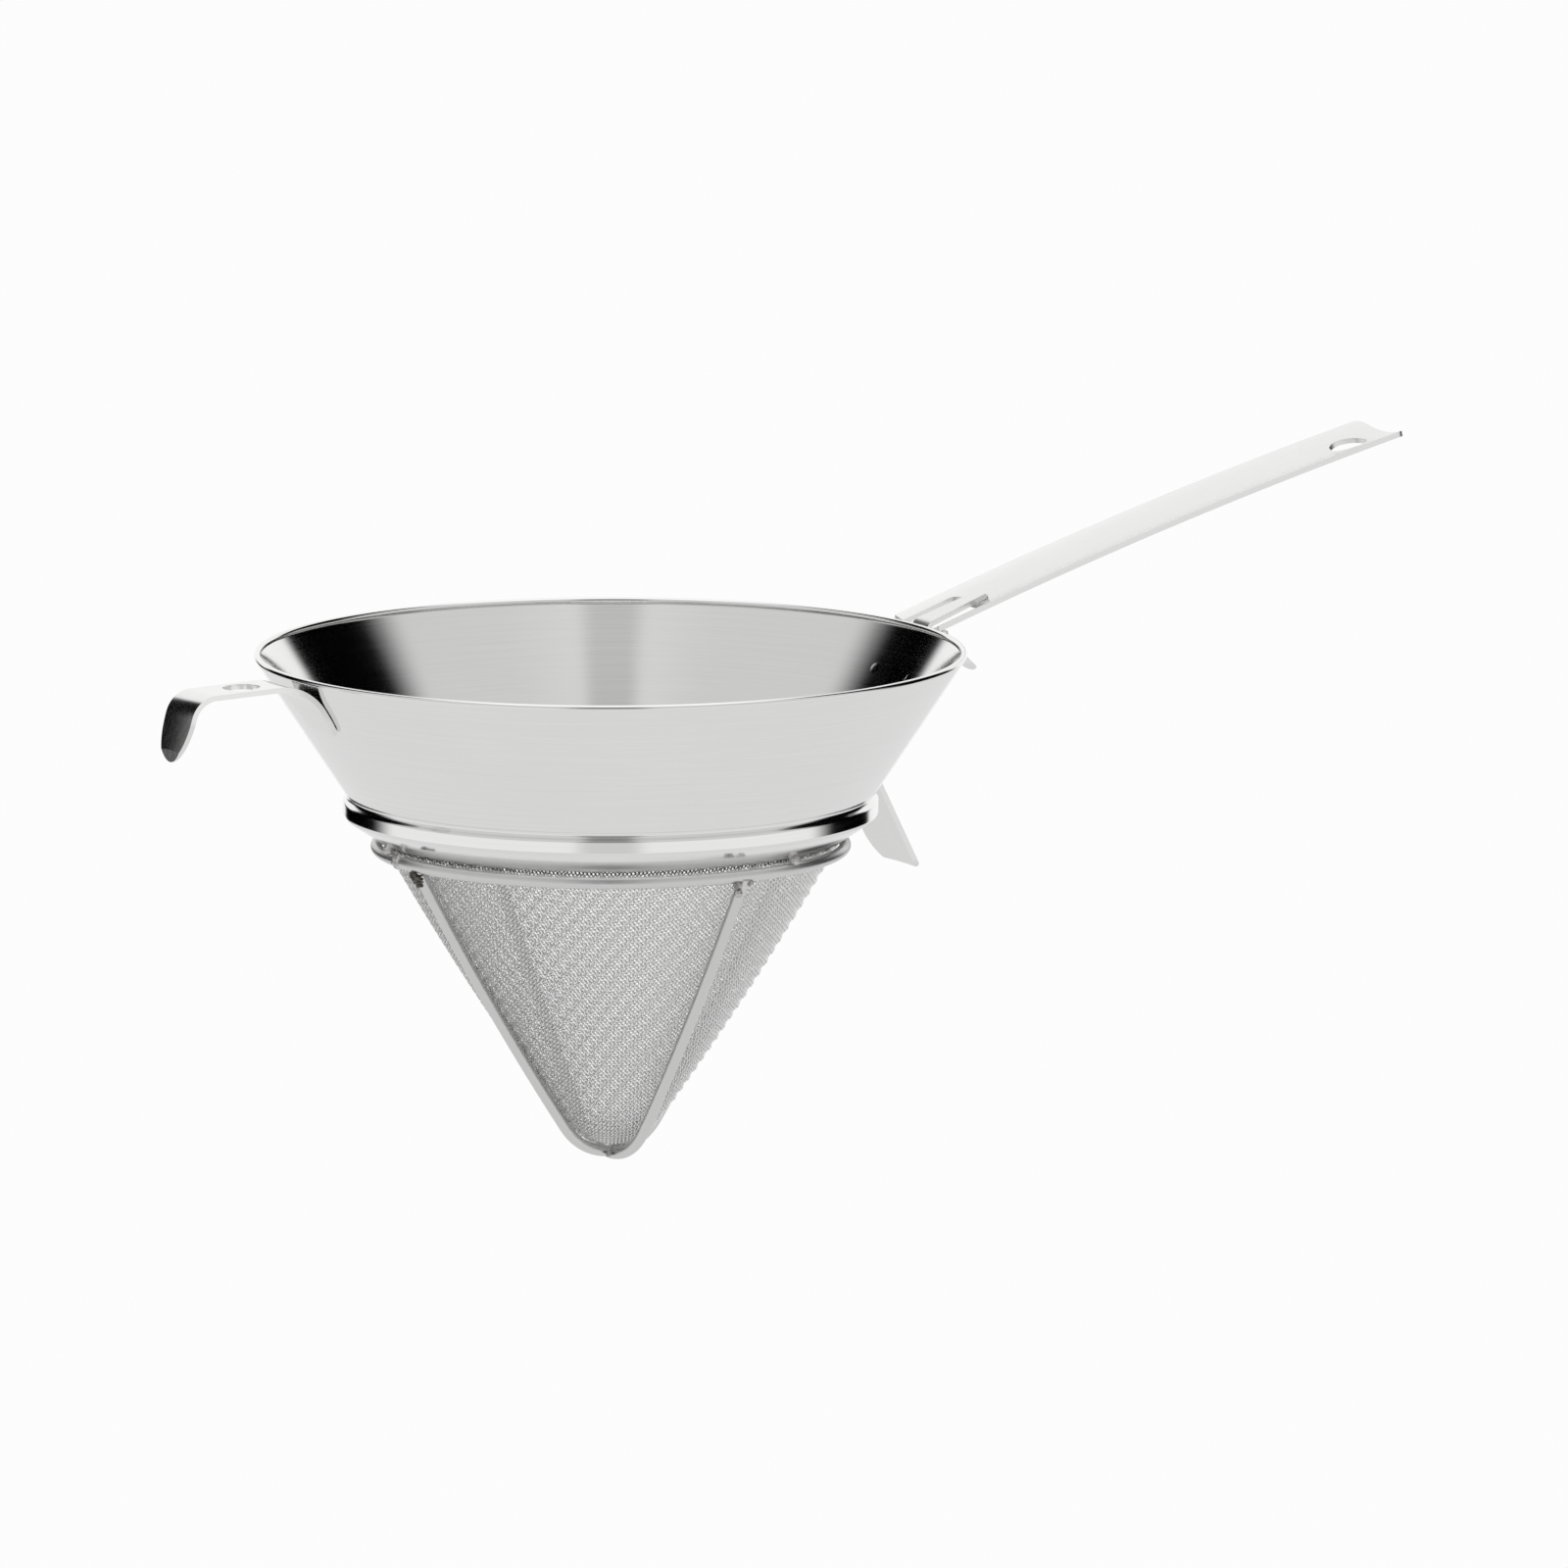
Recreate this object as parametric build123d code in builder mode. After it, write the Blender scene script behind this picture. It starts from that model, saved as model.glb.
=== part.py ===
from build123d import *
import math
import os

# A chinois: a conical bouillon strainer of 20 cm with a wire cloth cone, guard bars, a front hook and a
# long handle. Lengths are millimetres, angles degrees. The bowl's axis is Z, the rim's top plane is at
# height zero, the handle runs along +X and the front hook along -X.

os.makedirs("parts", exist_ok=True)

# Bowl of spun sheet
rim_radius = 100.0
rim_roll = 1.9
bowl_sheet = 0.8
wall_foot_radius = 74.0
wall_foot_depth = 40.5
wall_foot_blend = 1.2

# Raised band under the wall, and the collar turned in below it
band_radius = 75.2
band_top_run = 1.5
band_height = 4.1
band_top_round = 0.9
band_bottom_round = 1.6
collar_radius = 66.6
collar_height = 5.8

# Wire cloth: two wires thick, bowed a little outwards, with a round tip
cloth_thickness = 0.8
cloth_clearance = 0.1
cloth_turn = 0.5
cloth_border = 7.0
cloth_bow_radius = 890.0
cloth_tip_depth = 140.6
cloth_tip_round = 17.2

# Plain grid of openings that stands for the cloth's meshes
opening_count = 24
opening_rows = 6
opening_width = 3.6
opening_height = 8.0
opening_step = 11.0
opening_top_depth = 64.0
opening_reach = 12.0

# Lapped seam of the cloth
seam_width = 3.0
seam_thickness = 0.2
seam_clearance = 0.05
seam_azimuth = 181.0
seam_top_share = 0.1
seam_end_share = 0.97

# Clamp ring inside the cloth's border
ring_sheet = 0.8
ring_width = 6.2

# Guard hoop and guard bars of round wire
hoop_gap = 0.28
hoop_drop = 3.3
hoop_wire = 3.3
bar_wire = 3.2
bar_gap = 0.3
bar_step = 0.7
bar_azimuth = 4.6
bar_cross_angle = 90.0
lap_clearance = 0.05

# Welds of the guard
weld_clearance = 0.02
bar_weld_radius = 2.7
hoop_joint_azimuth = 177.2
hoop_joint_length = 4.6
hoop_joint_height = 0.5
tack_radius = 1.5
tack_azimuth = 171.0
tack_count = 3
tip_weld_radius = 0.9
tip_weld_count = 4

# Strips on the bowl's wall lie this far off it, over the spot welds
seat_gap = 0.2
spot_radius = 2.5
spot_clearance = 0.02

# Front hook
hook_width = 15.4
hook_sheet = 1.5
hook_flange_depth = 15.5
hook_plate_depth = 1.5
hook_plate_fall = 1.1
hook_plate_run = 35.0
hook_tip_run = 40.0
hook_tip_depth = 19.7
hook_tip_round = 12.0
hook_inner_bend = 16.0
hook_outer_bend = 7.5
hook_hole_radius = 5.2
hook_hole_run = 17.5
hook_spot_depth = 12.5
hook_spot_offset = 4.2

# Rear strap with its foot, two tongues and a prong
strap_width = 23.0
strap_sheet = 1.5
strap_leave_depth = 36.0
strap_foot_run = 19.7
strap_foot_depth = 67.0
strap_foot_bend = 6.0
strap_foot_round = 8.5
strap_foot_near_round = 3.0
tongue_corner_depth = 1.5
tongue_bend = 2.5
tongue_tip_run = 12.6
tongue_tip_depth = 12.3
tongue_round = 2.6
slit_depth = 6.5
slit_width = 0.5
prong_width = 8.4
prong_tip_width = 5.2
prong_corner_height = 0.1
prong_bend = 3.0
prong_root_depth = 8.0
prong_run = 21.0
prong_seat_gap = 0.2
strap_spot_offset = 8.6
strap_spot_depth = 13.5
strap_spot_step = 12.5

# Handle
handle_width = 24.7
handle_sheet = 1.5
handle_dish = 2.2
handle_root_height = 0.8
handle_run_out = 155.0
handle_end_height = 46.0
handle_bow = 1.9
handle_corner = 3.0
fork_width = 17.2
fork_end_run = 18.0
fork_end_round = 3.0
root_clearance = 0.4
hanging_hole_radius = 5.5
hanging_hole_inset = 12.5
root_weld_radius = 1.4
prong_weld_length = 1.8
prong_weld_height = 1.0
prong_weld_taper = 30.0

# One overrun for every cut
overrun = 40.0

# Depths that follow one another down the bowl
band_top_depth = wall_foot_depth + band_top_run
band_bottom_depth = band_top_depth + band_height
collar_depth = band_bottom_depth + collar_height
hoop_depth = collar_depth + hoop_drop

# Reaches from the axis that follow the bowl
hook_bend_reach = rim_radius + hook_plate_run
hook_tip_reach = rim_radius + hook_tip_run
hook_hole_reach = rim_radius + hook_hole_run
strap_foot_reach = wall_foot_radius + strap_foot_run
tongue_tip_reach = rim_radius + tongue_tip_run
prong_reach = rim_radius + prong_run
fork_end_reach = rim_radius + fork_end_run
handle_root_reach = rim_radius
handle_end_reach = rim_radius + handle_run_out


def upright(azimuth):
    """The plane through the bowl's axis at an azimuth: local x is the radius, local y is the height."""
    turn = math.radians(azimuth)
    outward = (math.cos(turn), math.sin(turn), 0)
    sideways = (math.sin(turn), -math.cos(turn), 0)
    return Plane(origin=(0, 0, 0), x_dir=outward, z_dir=sideways)


def unit(x, y):
    """A direction of length one."""
    size = math.hypot(x, y)
    return Vector(x / size, y / size)


# The wall's slope: its outside is tangent to the round of the rim
roll_radius = rim_roll / 2
roll_centre = Vector(rim_radius - roll_radius, -roll_radius)
wall_foot = Vector(wall_foot_radius, -wall_foot_depth)
wall_run = roll_centre - wall_foot
wall_slope = math.atan2(wall_run.X, wall_run.Y) + math.asin(roll_radius / wall_run.length)
wall_up = Vector(math.sin(wall_slope), math.cos(wall_slope))
wall_out = Vector(math.cos(wall_slope), -math.sin(wall_slope))
wall_top = roll_centre + wall_out * roll_radius


def on_wall(depth, off):
    """The point at a depth, off the outside of the wall by a distance square to it."""
    foot = wall_foot + wall_out * off
    return foot + wall_up * ((-depth - foot.Y) / wall_up.Y)


# Collar line, from the band's lower edge in to the collar's lower edge
band_bottom = Vector(band_radius, -band_bottom_depth)
collar_end = Vector(collar_radius, -collar_depth)
collar_up = unit(band_bottom.X - collar_end.X, band_bottom.Y - collar_end.Y)
collar_out = Vector(collar_up.Y, -collar_up.X)

# Bowl
with BuildPart() as bowl:
    with BuildSketch(Plane.XZ) as bowl_section:
        with BuildLine() as bowl_outline:
            FilletPolyline(
                wall_top,
                wall_foot,
                (band_radius, -band_top_depth),
                band_bottom,
                collar_end,
                radius=[wall_foot_blend, band_top_round, band_bottom_round],
            )
            offset(amount=bowl_sheet, side=Side.RIGHT)
        make_face()
        with Locations(roll_centre):
            Circle(roll_radius)
    revolve(axis=Axis.Z)
bowl.part.label = "bowl"
export_step(bowl.part, "parts/bowl.step")

# Cloth outline: a bow of large radius that runs on into the round tip without a corner
cloth_top = collar_end - collar_out * (bowl_sheet + cloth_clearance) - collar_up * cloth_turn
tip_centre = Vector(0, cloth_tip_round - cloth_tip_depth)
top_from_tip = cloth_top - tip_centre
bow_reach = cloth_bow_radius - cloth_tip_round
along = (bow_reach**2 - cloth_bow_radius**2 + top_from_tip.length**2) / (2 * top_from_tip.length)
aside = math.sqrt(bow_reach**2 - along**2)
top_way = top_from_tip.normalized()
bow_centre = tip_centre + top_way * along + Vector(-top_way.Y, top_way.X) * aside
join_way = (tip_centre - bow_centre).normalized()
bow_top_way = (cloth_top - bow_centre).normalized()
hoop_off = cloth_bow_radius + hoop_gap + hoop_wire / 2
hoop_radius = bow_centre.X + math.sqrt(hoop_off**2 - (hoop_depth + bow_centre.Y) ** 2)


def off_bow(way, off):
    """The point off the cloth's outer face in a direction seen from the centre of its bow."""
    return bow_centre + way * (cloth_bow_radius + off)


def off_tip(way, off):
    """The point off the cloth's outer face in a direction seen from the centre of its round tip."""
    return tip_centre + way * (cloth_tip_round + off)


def between(way, other):
    """The direction halfway between two directions."""
    return (way + other).normalized()


down = Vector(0, -1)
border_mitre = (collar_out + bow_top_way) / (1 + collar_out.dot(bow_top_way))


def cloth_points(off):
    """Points of the cloth's side view at a distance outside its outer face, from the border to the tip."""
    turn = cloth_top + border_mitre * off
    return [
        cloth_top + collar_out * off + collar_up * cloth_border,
        turn,
        off_bow(between(bow_top_way, join_way), off),
        off_bow(join_way, off),
        off_tip(between(join_way, down), off),
        off_tip(down, off),
    ]


# Cone of woven wire cloth
outer_points = cloth_points(0)
inner_points = cloth_points(-cloth_thickness)
with BuildPart() as mesh_cone:
    with BuildSketch(Plane.XZ) as cloth_section:
        with BuildLine() as cloth_outline:
            for border, turn, bow, join, dome, tip in (outer_points, inner_points):
                Line(border, turn)
                ThreePointArc(turn, bow, join)
                ThreePointArc(join, dome, tip)
            Line(outer_points[0], inner_points[0])
            Line(outer_points[-1], inner_points[-1])
        make_face()
    revolve(axis=Axis.Z)
    for row in range(opening_rows):
        depth = opening_top_depth + opening_step * row
        reach = bow_centre.X + math.sqrt(cloth_bow_radius**2 - (depth + bow_centre.Y) ** 2)
        with Locations((0, 0, -depth)):
            with PolarLocations(reach, opening_count, start_angle=seam_azimuth + 180 / opening_count):
                Box(opening_reach, opening_width, opening_height, mode=Mode.SUBTRACT)
mesh_cone.part.label = "mesh_cone"
export_step(mesh_cone.part, "parts/mesh_cone.step")

# Clamp ring: a conical band inside the cloth's border
ring_foot = cloth_top - collar_out * (cloth_thickness + cloth_clearance) + collar_up * ring_sheet
with BuildPart() as clamp_ring:
    with BuildSketch(Plane.XZ) as ring_section:
        with BuildLine() as ring_outline:
            Line(ring_foot, ring_foot + collar_up * ring_width)
            offset(amount=ring_sheet, side=Side.LEFT)
        make_face()
    revolve(axis=Axis.Z)
clamp_ring.part.label = "clamp_ring"
export_step(clamp_ring.part, "parts/clamp_ring.step")


def ring_of_wire(grow=0.0):
    """The guard hoop's torus, its wire thicker by a growth all round."""
    with BuildPart() as ring:
        with BuildSketch(Plane.XZ):
            with Locations((hoop_radius, -hoop_depth)):
                Circle(hoop_wire / 2 + grow)
        revolve(axis=Axis.Z)
    return ring.part


def v_of_wire(azimuth, gap, grow=0.0):
    """A guard bar: down from the hoop, round the tip and up the far side, clear of the cloth by a gap."""
    off = gap + bar_wire / 2
    plane = upright(azimuth)
    join = off_bow(join_way, off)
    join_turn = math.atan2(join_way.Y, join_way.X)
    hoop_turn = math.atan2(-hoop_depth - bow_centre.Y, hoop_radius - bow_centre.X)
    section_plane = Plane(
        origin=plane.from_local_coords((join.X, join.Y)),
        x_dir=plane.z_dir,
        z_dir=plane.x_dir * -join_way.Y + plane.y_dir * join_way.X,
    )
    bow_axis = Axis(plane.from_local_coords((bow_centre.X, bow_centre.Y)), plane.z_dir)
    tip_axis = Axis((0, 0, tip_centre.Y), plane.z_dir)
    with BuildPart() as bar:
        with BuildSketch(section_plane):
            Circle(bar_wire / 2 + grow)
        revolve(axis=bow_axis, revolution_arc=math.degrees(hoop_turn - join_turn))
        mirror(about=Plane(origin=(0, 0, 0), z_dir=plane.x_dir))
        with BuildSketch(section_plane):
            Circle(bar_wire / 2 + grow)
        revolve(axis=tip_axis, revolution_arc=-math.degrees(math.pi + 2 * join_turn))
    return bar.part


# Guard hoop
guard_hoop = ring_of_wire()
guard_hoop.label = "guard_hoop"
export_step(guard_hoop, "parts/guard_hoop.step")

# Guard bars, coped on the hoop and half lapped where they cross under the tip
inner_gap = bar_gap
outer_gap = bar_gap + bar_step
lap_height = -(cloth_tip_depth + (inner_gap + outer_gap + bar_wire) / 2)
lap_length = bar_wire + 2 * lap_clearance
hoop_cope = ring_of_wire(weld_clearance)
with BuildPart() as guard_bar_inner:
    add(v_of_wire(bar_azimuth, inner_gap))
    add(hoop_cope, mode=Mode.SUBTRACT)
    with BuildSketch(Plane.XY.offset(lap_height + lap_clearance / 2)) as inner_lap:
        Rectangle(lap_length, lap_length, rotation=bar_azimuth)
    extrude(amount=-overrun, mode=Mode.SUBTRACT)
guard_bar_inner.part.label = "guard_bar_inner"
export_step(guard_bar_inner.part, "parts/guard_bar_inner.step")

with BuildPart() as guard_bar_outer:
    add(v_of_wire(bar_azimuth + bar_cross_angle, outer_gap))
    add(hoop_cope, mode=Mode.SUBTRACT)
    with BuildSketch(Plane.XY.offset(lap_height - lap_clearance / 2)) as outer_lap:
        Rectangle(lap_length, lap_length, rotation=bar_azimuth)
    extrude(amount=overrun, mode=Mode.SUBTRACT)
guard_bar_outer.part.label = "guard_bar_outer"
export_step(guard_bar_outer.part, "parts/guard_bar_outer.step")


def formed_strip(corners, radii, sheet, half_angle):
    """A sheet strip bent along its side view and carried round the bowl's axis by an angle each way."""
    with BuildPart() as strip:
        with BuildSketch(upright(-half_angle)):
            with BuildLine():
                FilletPolyline(*corners, radius=radii)
                offset(amount=sheet / 2)
            make_face()
        revolve(axis=Axis.Z, revolution_arc=2 * half_angle)
    return strip.part


def wall_mid(depth, sheet):
    """The middle of a strip of sheet that lies on the wall, at a depth."""
    return on_wall(depth, seat_gap + sheet / 2)


def reach_angle(width, reach):
    """Half the angle that covers a width with room to trim, as seen from the axis at a reach."""
    return math.degrees(math.atan2(width, reach))


def spot_nugget(azimuth, aside, depth):
    """A round weld spot between the wall and a strip: a disc of the gap's height, on the wall's slope."""
    plane = upright(azimuth)
    seat = on_wall(depth, 0)
    middle = plane.from_local_coords((seat.X, seat.Y)) - plane.z_dir * aside
    way = plane.from_local_coords((wall_out.X, wall_out.Y))
    with BuildPart() as spot:
        with BuildSketch(plane):
            with BuildLine():
                Polyline(
                    on_wall(depth - 2 * spot_radius, spot_clearance),
                    on_wall(depth - 2 * spot_radius, seat_gap - spot_clearance),
                    on_wall(depth + 2 * spot_radius, seat_gap - spot_clearance),
                    on_wall(depth + 2 * spot_radius, spot_clearance),
                    close=True,
                )
            make_face()
        revolve(axis=Axis.Z)
        with BuildSketch(Plane(origin=middle, z_dir=way)):
            Circle(spot_radius)
        extrude(amount=2 * spot_radius, both=True, mode=Mode.INTERSECT)
    return spot.part


# Front hook: flange on the wall, holed plate, tongue turned down
hook_flange = wall_mid(hook_flange_depth, hook_sheet)
hook_corner = wall_mid(hook_plate_depth, hook_sheet)
hook_edge = (hook_bend_reach, -hook_plate_depth - hook_plate_fall)
hook_tip = (hook_tip_reach, -hook_tip_depth)
tongue_half = hook_width / 2
with BuildPart() as front_hook:
    add(
        formed_strip(
            [tuple(hook_flange)[:2], tuple(hook_corner)[:2], hook_edge, hook_tip],
            [hook_inner_bend, hook_outer_bend],
            hook_sheet,
            reach_angle(hook_width, rim_radius),
        )
    )
    tip_start = hook_tip_depth + hook_sheet / 2 - hook_tip_round
    with BuildSketch(Plane.YZ) as hook_front:
        with Locations((0, overrun / 2 - tip_start)):
            Rectangle(hook_width, overrun)
        with Locations((0, -tip_start)):
            Ellipse(tongue_half, hook_tip_round)
    extrude(amount=rim_radius + overrun, mode=Mode.INTERSECT)
    with Locations((hook_hole_reach, 0, 0)):
        Hole(hook_hole_radius)
front_hook_part = front_hook.part.rotate(Axis.Z, 180)
front_hook_part.label = "front_hook"
export_step(front_hook_part, "parts/front_hook.step")

# Handle line: the middle of the dished strip's top face, bowed a little upwards
handle_start = Vector(handle_root_reach, handle_root_height - handle_dish)
handle_end = Vector(handle_end_reach, handle_end_height - handle_dish)
handle_run = (handle_end - handle_start).normalized()
handle_middle = (handle_start + handle_end) * 0.5 + Vector(-handle_run.Y, handle_run.X) * handle_bow
dish_radius = (handle_width**2 / 4 + handle_dish**2) / (2 * handle_dish)

with BuildPart() as handle:
    with BuildLine(Plane.XZ) as handle_line:
        ThreePointArc(
            (handle_start.X, handle_start.Y),
            (handle_middle.X, handle_middle.Y),
            (handle_end.X, handle_end.Y),
        )
    handle_path = handle_line.wire()
    root_plane = Plane(origin=handle_path @ 0, x_dir=(0, 1, 0), z_dir=handle_path % 0)
    with BuildSketch(root_plane) as handle_section:
        with Locations((0, dish_radius)):
            Circle(dish_radius + handle_sheet)
            Circle(dish_radius, mode=Mode.SUBTRACT)
        Rectangle(handle_width, 2 * (handle_dish + handle_sheet), mode=Mode.INTERSECT)
    sweep(path=handle_path)
    with BuildSketch() as fork_gap:
        with Locations((fork_end_reach / 2, 0)):
            Rectangle(fork_end_reach, fork_width)
        fillet(fork_gap.vertices().group_by(Axis.X)[-1], fork_end_round)
    extrude(amount=rim_radius, both=True, mode=Mode.SUBTRACT)
    with BuildSketch():
        Circle(rim_radius + root_clearance)
    extrude(amount=rim_radius, both=True, mode=Mode.SUBTRACT)
    fillet(handle.edges().filter_by(GeomType.LINE).group_by(Axis.X)[-1], handle_corner)
    hole_share = 1 - hanging_hole_inset / handle_path.length
    hole_way = handle_path % hole_share
    hole_up = hole_way.cross(Vector(0, 1, 0))
    with BuildSketch(Plane(origin=handle_path @ hole_share, x_dir=hole_way, z_dir=hole_up)):
        Circle(hanging_hole_radius)
    extrude(amount=handle_width, both=True, mode=Mode.SUBTRACT)
handle.part.label = "handle"
export_step(handle.part, "parts/handle.step")

# Rear strap: foot, wall run and two tongues from one strip, and a prong between the tongues
strap_foot = (strap_foot_reach, -strap_foot_depth)
strap_leave = tuple(wall_mid(strap_leave_depth, strap_sheet))[:2]
tongue_corner = tuple(wall_mid(tongue_corner_depth, strap_sheet))[:2]
tongue_tip = (tongue_tip_reach, -tongue_tip_depth)
prong_root = tuple(wall_mid(prong_root_depth, strap_sheet))[:2]
prong_corner = tuple(wall_mid(-prong_corner_height, strap_sheet))[:2]
prong_share = (prong_reach - handle_root_reach) / (handle_end_reach - handle_root_reach)
prong_seat = handle_path @ prong_share
seat_up = (handle_path % prong_share).cross(Vector(0, 1, 0))
prong_end = prong_seat + seat_up * (prong_seat_gap + strap_sheet / 2)
tongue_width = (strap_width - prong_width) / 2 - slit_width
tongue_middle = (strap_width - tongue_width) / 2
strap_half_angle = reach_angle(strap_width, wall_foot_radius)

with BuildPart() as prong:
    add(
        formed_strip(
            [prong_root, prong_corner, (prong_end.X, prong_end.Z)],
            [prong_bend],
            strap_sheet,
            strap_half_angle,
        )
    )
    with BuildSketch() as prong_plan:
        with BuildLine():
            Polyline(
                (0, prong_width / 2),
                (rim_radius, prong_width / 2),
                (prong_reach + strap_sheet, prong_tip_width / 2),
                (prong_reach + strap_sheet, -prong_tip_width / 2),
                (rim_radius, -prong_width / 2),
                (0, -prong_width / 2),
                close=True,
            )
        make_face()
    extrude(amount=rim_radius, both=True, mode=Mode.INTERSECT)

with BuildPart() as rear_strap:
    add(
        formed_strip(
            [strap_foot, strap_leave, tongue_corner, tongue_tip],
            [strap_foot_bend, tongue_bend],
            strap_sheet,
            strap_half_angle,
        )
    )
    foot_end = strap_foot_depth + strap_sheet / 2
    with BuildSketch(Plane.YZ) as strap_front:
        with Locations((0, -foot_end / 2)):
            Rectangle(strap_width, foot_end + rim_roll)
        foot_corners = strap_front.vertices().group_by(Axis.Y)[0].sort_by(Axis.X)
        fillet(foot_corners[-1], strap_foot_round)
        foot_corners = strap_front.vertices().group_by(Axis.Y)[0].sort_by(Axis.X)
        fillet(foot_corners[0], strap_foot_near_round)
    extrude(amount=rim_radius + overrun, mode=Mode.INTERSECT)
    with BuildSketch(Plane.YZ.offset(tongue_corner[0])) as tongue_room:
        Rectangle(2 * strap_width, 2 * (tongue_tip_depth + strap_sheet / 2))
        for side in (-tongue_middle, tongue_middle):
            with Locations((side, (overrun - strap_sheet) / 2 - tongue_tip_depth)):
                RectangleRounded(tongue_width, overrun, tongue_round, mode=Mode.SUBTRACT)
    extrude(amount=overrun, mode=Mode.SUBTRACT)
    with BuildSketch(Plane.XY.offset(-slit_depth)) as slit:
        with Locations((rim_radius, 0)):
            Rectangle(2 * overrun, prong_width + 2 * slit_width)
    extrude(amount=overrun, mode=Mode.SUBTRACT)
    add(prong.part)
rear_strap.part.label = "rear_strap"
export_step(rear_strap.part, "parts/rear_strap.step")


def weld_bead(radius, centre):
    """A round lump of weld at a place."""
    with BuildPart() as bead:
        with Locations(centre):
            Sphere(radius)
    return bead.part


def group_of(pieces, label):
    """Separate solids under one name."""
    return Compound(label=label, children=[solid for piece in pieces for solid in piece.solids()])


def cloth_core(grow=0.0):
    """The cone inside the cloth's outer face, grown outwards."""
    points = cloth_points(grow)
    with BuildPart() as plug:
        with BuildSketch(Plane.XZ):
            with BuildLine():
                Line(points[0], points[1])
                ThreePointArc(points[1], points[2], points[3])
                ThreePointArc(points[3], points[4], points[5])
                Line(points[5], (0, points[0].Y))
                Line((0, points[0].Y), points[0])
            make_face()
        revolve(axis=Axis.Z)
    return plug.part


cloth_plug = cloth_core(weld_clearance)
inner_bar_room = v_of_wire(bar_azimuth, inner_gap, weld_clearance)
outer_bar_room = v_of_wire(bar_azimuth + bar_cross_angle, outer_gap, weld_clearance)

# Sleeve of weld round the hoop where its wire's two ends meet
with BuildPart() as hoop_joint:
    joint_turn = math.degrees(hoop_joint_length / hoop_radius)
    joint_plane = upright(hoop_joint_azimuth - joint_turn / 2)
    with BuildSketch(joint_plane) as joint_section:
        with Locations((hoop_radius, -hoop_depth)):
            Circle(hoop_wire / 2 + hoop_joint_height)
            Circle(hoop_wire / 2 + weld_clearance, mode=Mode.SUBTRACT)
    revolve(axis=Axis.Z, revolution_arc=joint_turn)
    add(cloth_plug, mode=Mode.SUBTRACT)
hoop_joint.part.label = "hoop_joint"
export_step(hoop_joint.part, "parts/hoop_joint.step")

# Tacks between the hoop and the bowl's collar
tack_height = -(collar_depth + hoop_depth - hoop_wire / 2) / 2
tacks = []
for tack in range(tack_count):
    plane = upright(tack_azimuth + 360 * tack / tack_count)
    centre = plane.from_local_coords((hoop_radius + bowl_sheet, tack_height))
    tacks.append(weld_bead(tack_radius, centre) - hoop_cope - bowl.part - cloth_plug)
hoop_tacks = group_of(tacks, "hoop_tacks")
export_step(hoop_tacks, "parts/hoop_tacks.step")

# Lumps of weld where the bars' tops meet the hoop
bar_top = off_bow((Vector(hoop_radius, -hoop_depth) - bow_centre).normalized(), bar_gap + bar_wire / 2)
lumps = []
for corner in range(4):
    plane = upright(bar_azimuth + 90 * corner)
    centre = plane.from_local_coords((bar_top.X + weld_clearance, -hoop_depth - hoop_wire))
    lump = weld_bead(bar_weld_radius, centre) - hoop_cope - inner_bar_room - outer_bar_room
    lumps.append(lump - cloth_plug)
bar_welds = group_of(lumps, "bar_welds")
export_step(bar_welds, "parts/bar_welds.step")

# Small lumps in the corners of the bars' crossing
beads = []
for corner in range(tip_weld_count):
    turn = math.radians(bar_azimuth + bar_cross_angle / 2 + 90 * corner)
    reach = (bar_wire / 2 + tip_weld_radius + lap_clearance) * math.sqrt(2)
    centre = (reach * math.cos(turn), reach * math.sin(turn), lap_height)
    beads.append(weld_bead(tip_weld_radius, centre))
tip_welds = group_of(beads, "tip_welds")
export_step(tip_welds, "parts/tip_welds.step")

# Spot welds under the hook's flange and under the strap
hook_spots = [spot_nugget(180, aside, hook_spot_depth) for aside in (-hook_spot_offset, hook_spot_offset)]
hook_spot_welds = group_of(hook_spots, "hook_spot_welds")
export_step(hook_spot_welds, "parts/hook_spot_welds.step")

strap_spots = []
for step in range(2):
    for aside in (-strap_spot_offset, strap_spot_offset):
        strap_spots.append(spot_nugget(0, aside, strap_spot_depth + strap_spot_step * step))
strap_spot_welds = group_of(strap_spots, "strap_spot_welds")
export_step(strap_spot_welds, "parts/strap_spot_welds.step")

# Welds of the fork's two strips on the tongues' crests
root_lumps = []
for side in (-1, 1):
    centre = (rim_radius + root_weld_radius, side * (handle_width / 2 - root_clearance), -root_weld_radius)
    root_lumps.append(weld_bead(root_weld_radius, centre) - handle.part - rear_strap.part - bowl.part)
handle_root_welds = group_of(root_lumps, "handle_root_welds")
export_step(handle_root_welds, "parts/handle_root_welds.step")

# Weld of the prong's tip on the handle
with BuildPart() as prong_weld:
    with BuildSketch(Plane(origin=prong_seat, z_dir=seat_up)):
        Circle(prong_weld_length)
    extrude(amount=prong_weld_height, both=True, taper=prong_weld_taper)
    add([handle.part, rear_strap.part], mode=Mode.SUBTRACT)
prong_weld.part.label = "prong_weld"
export_step(prong_weld.part, "parts/prong_weld.step")

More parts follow.
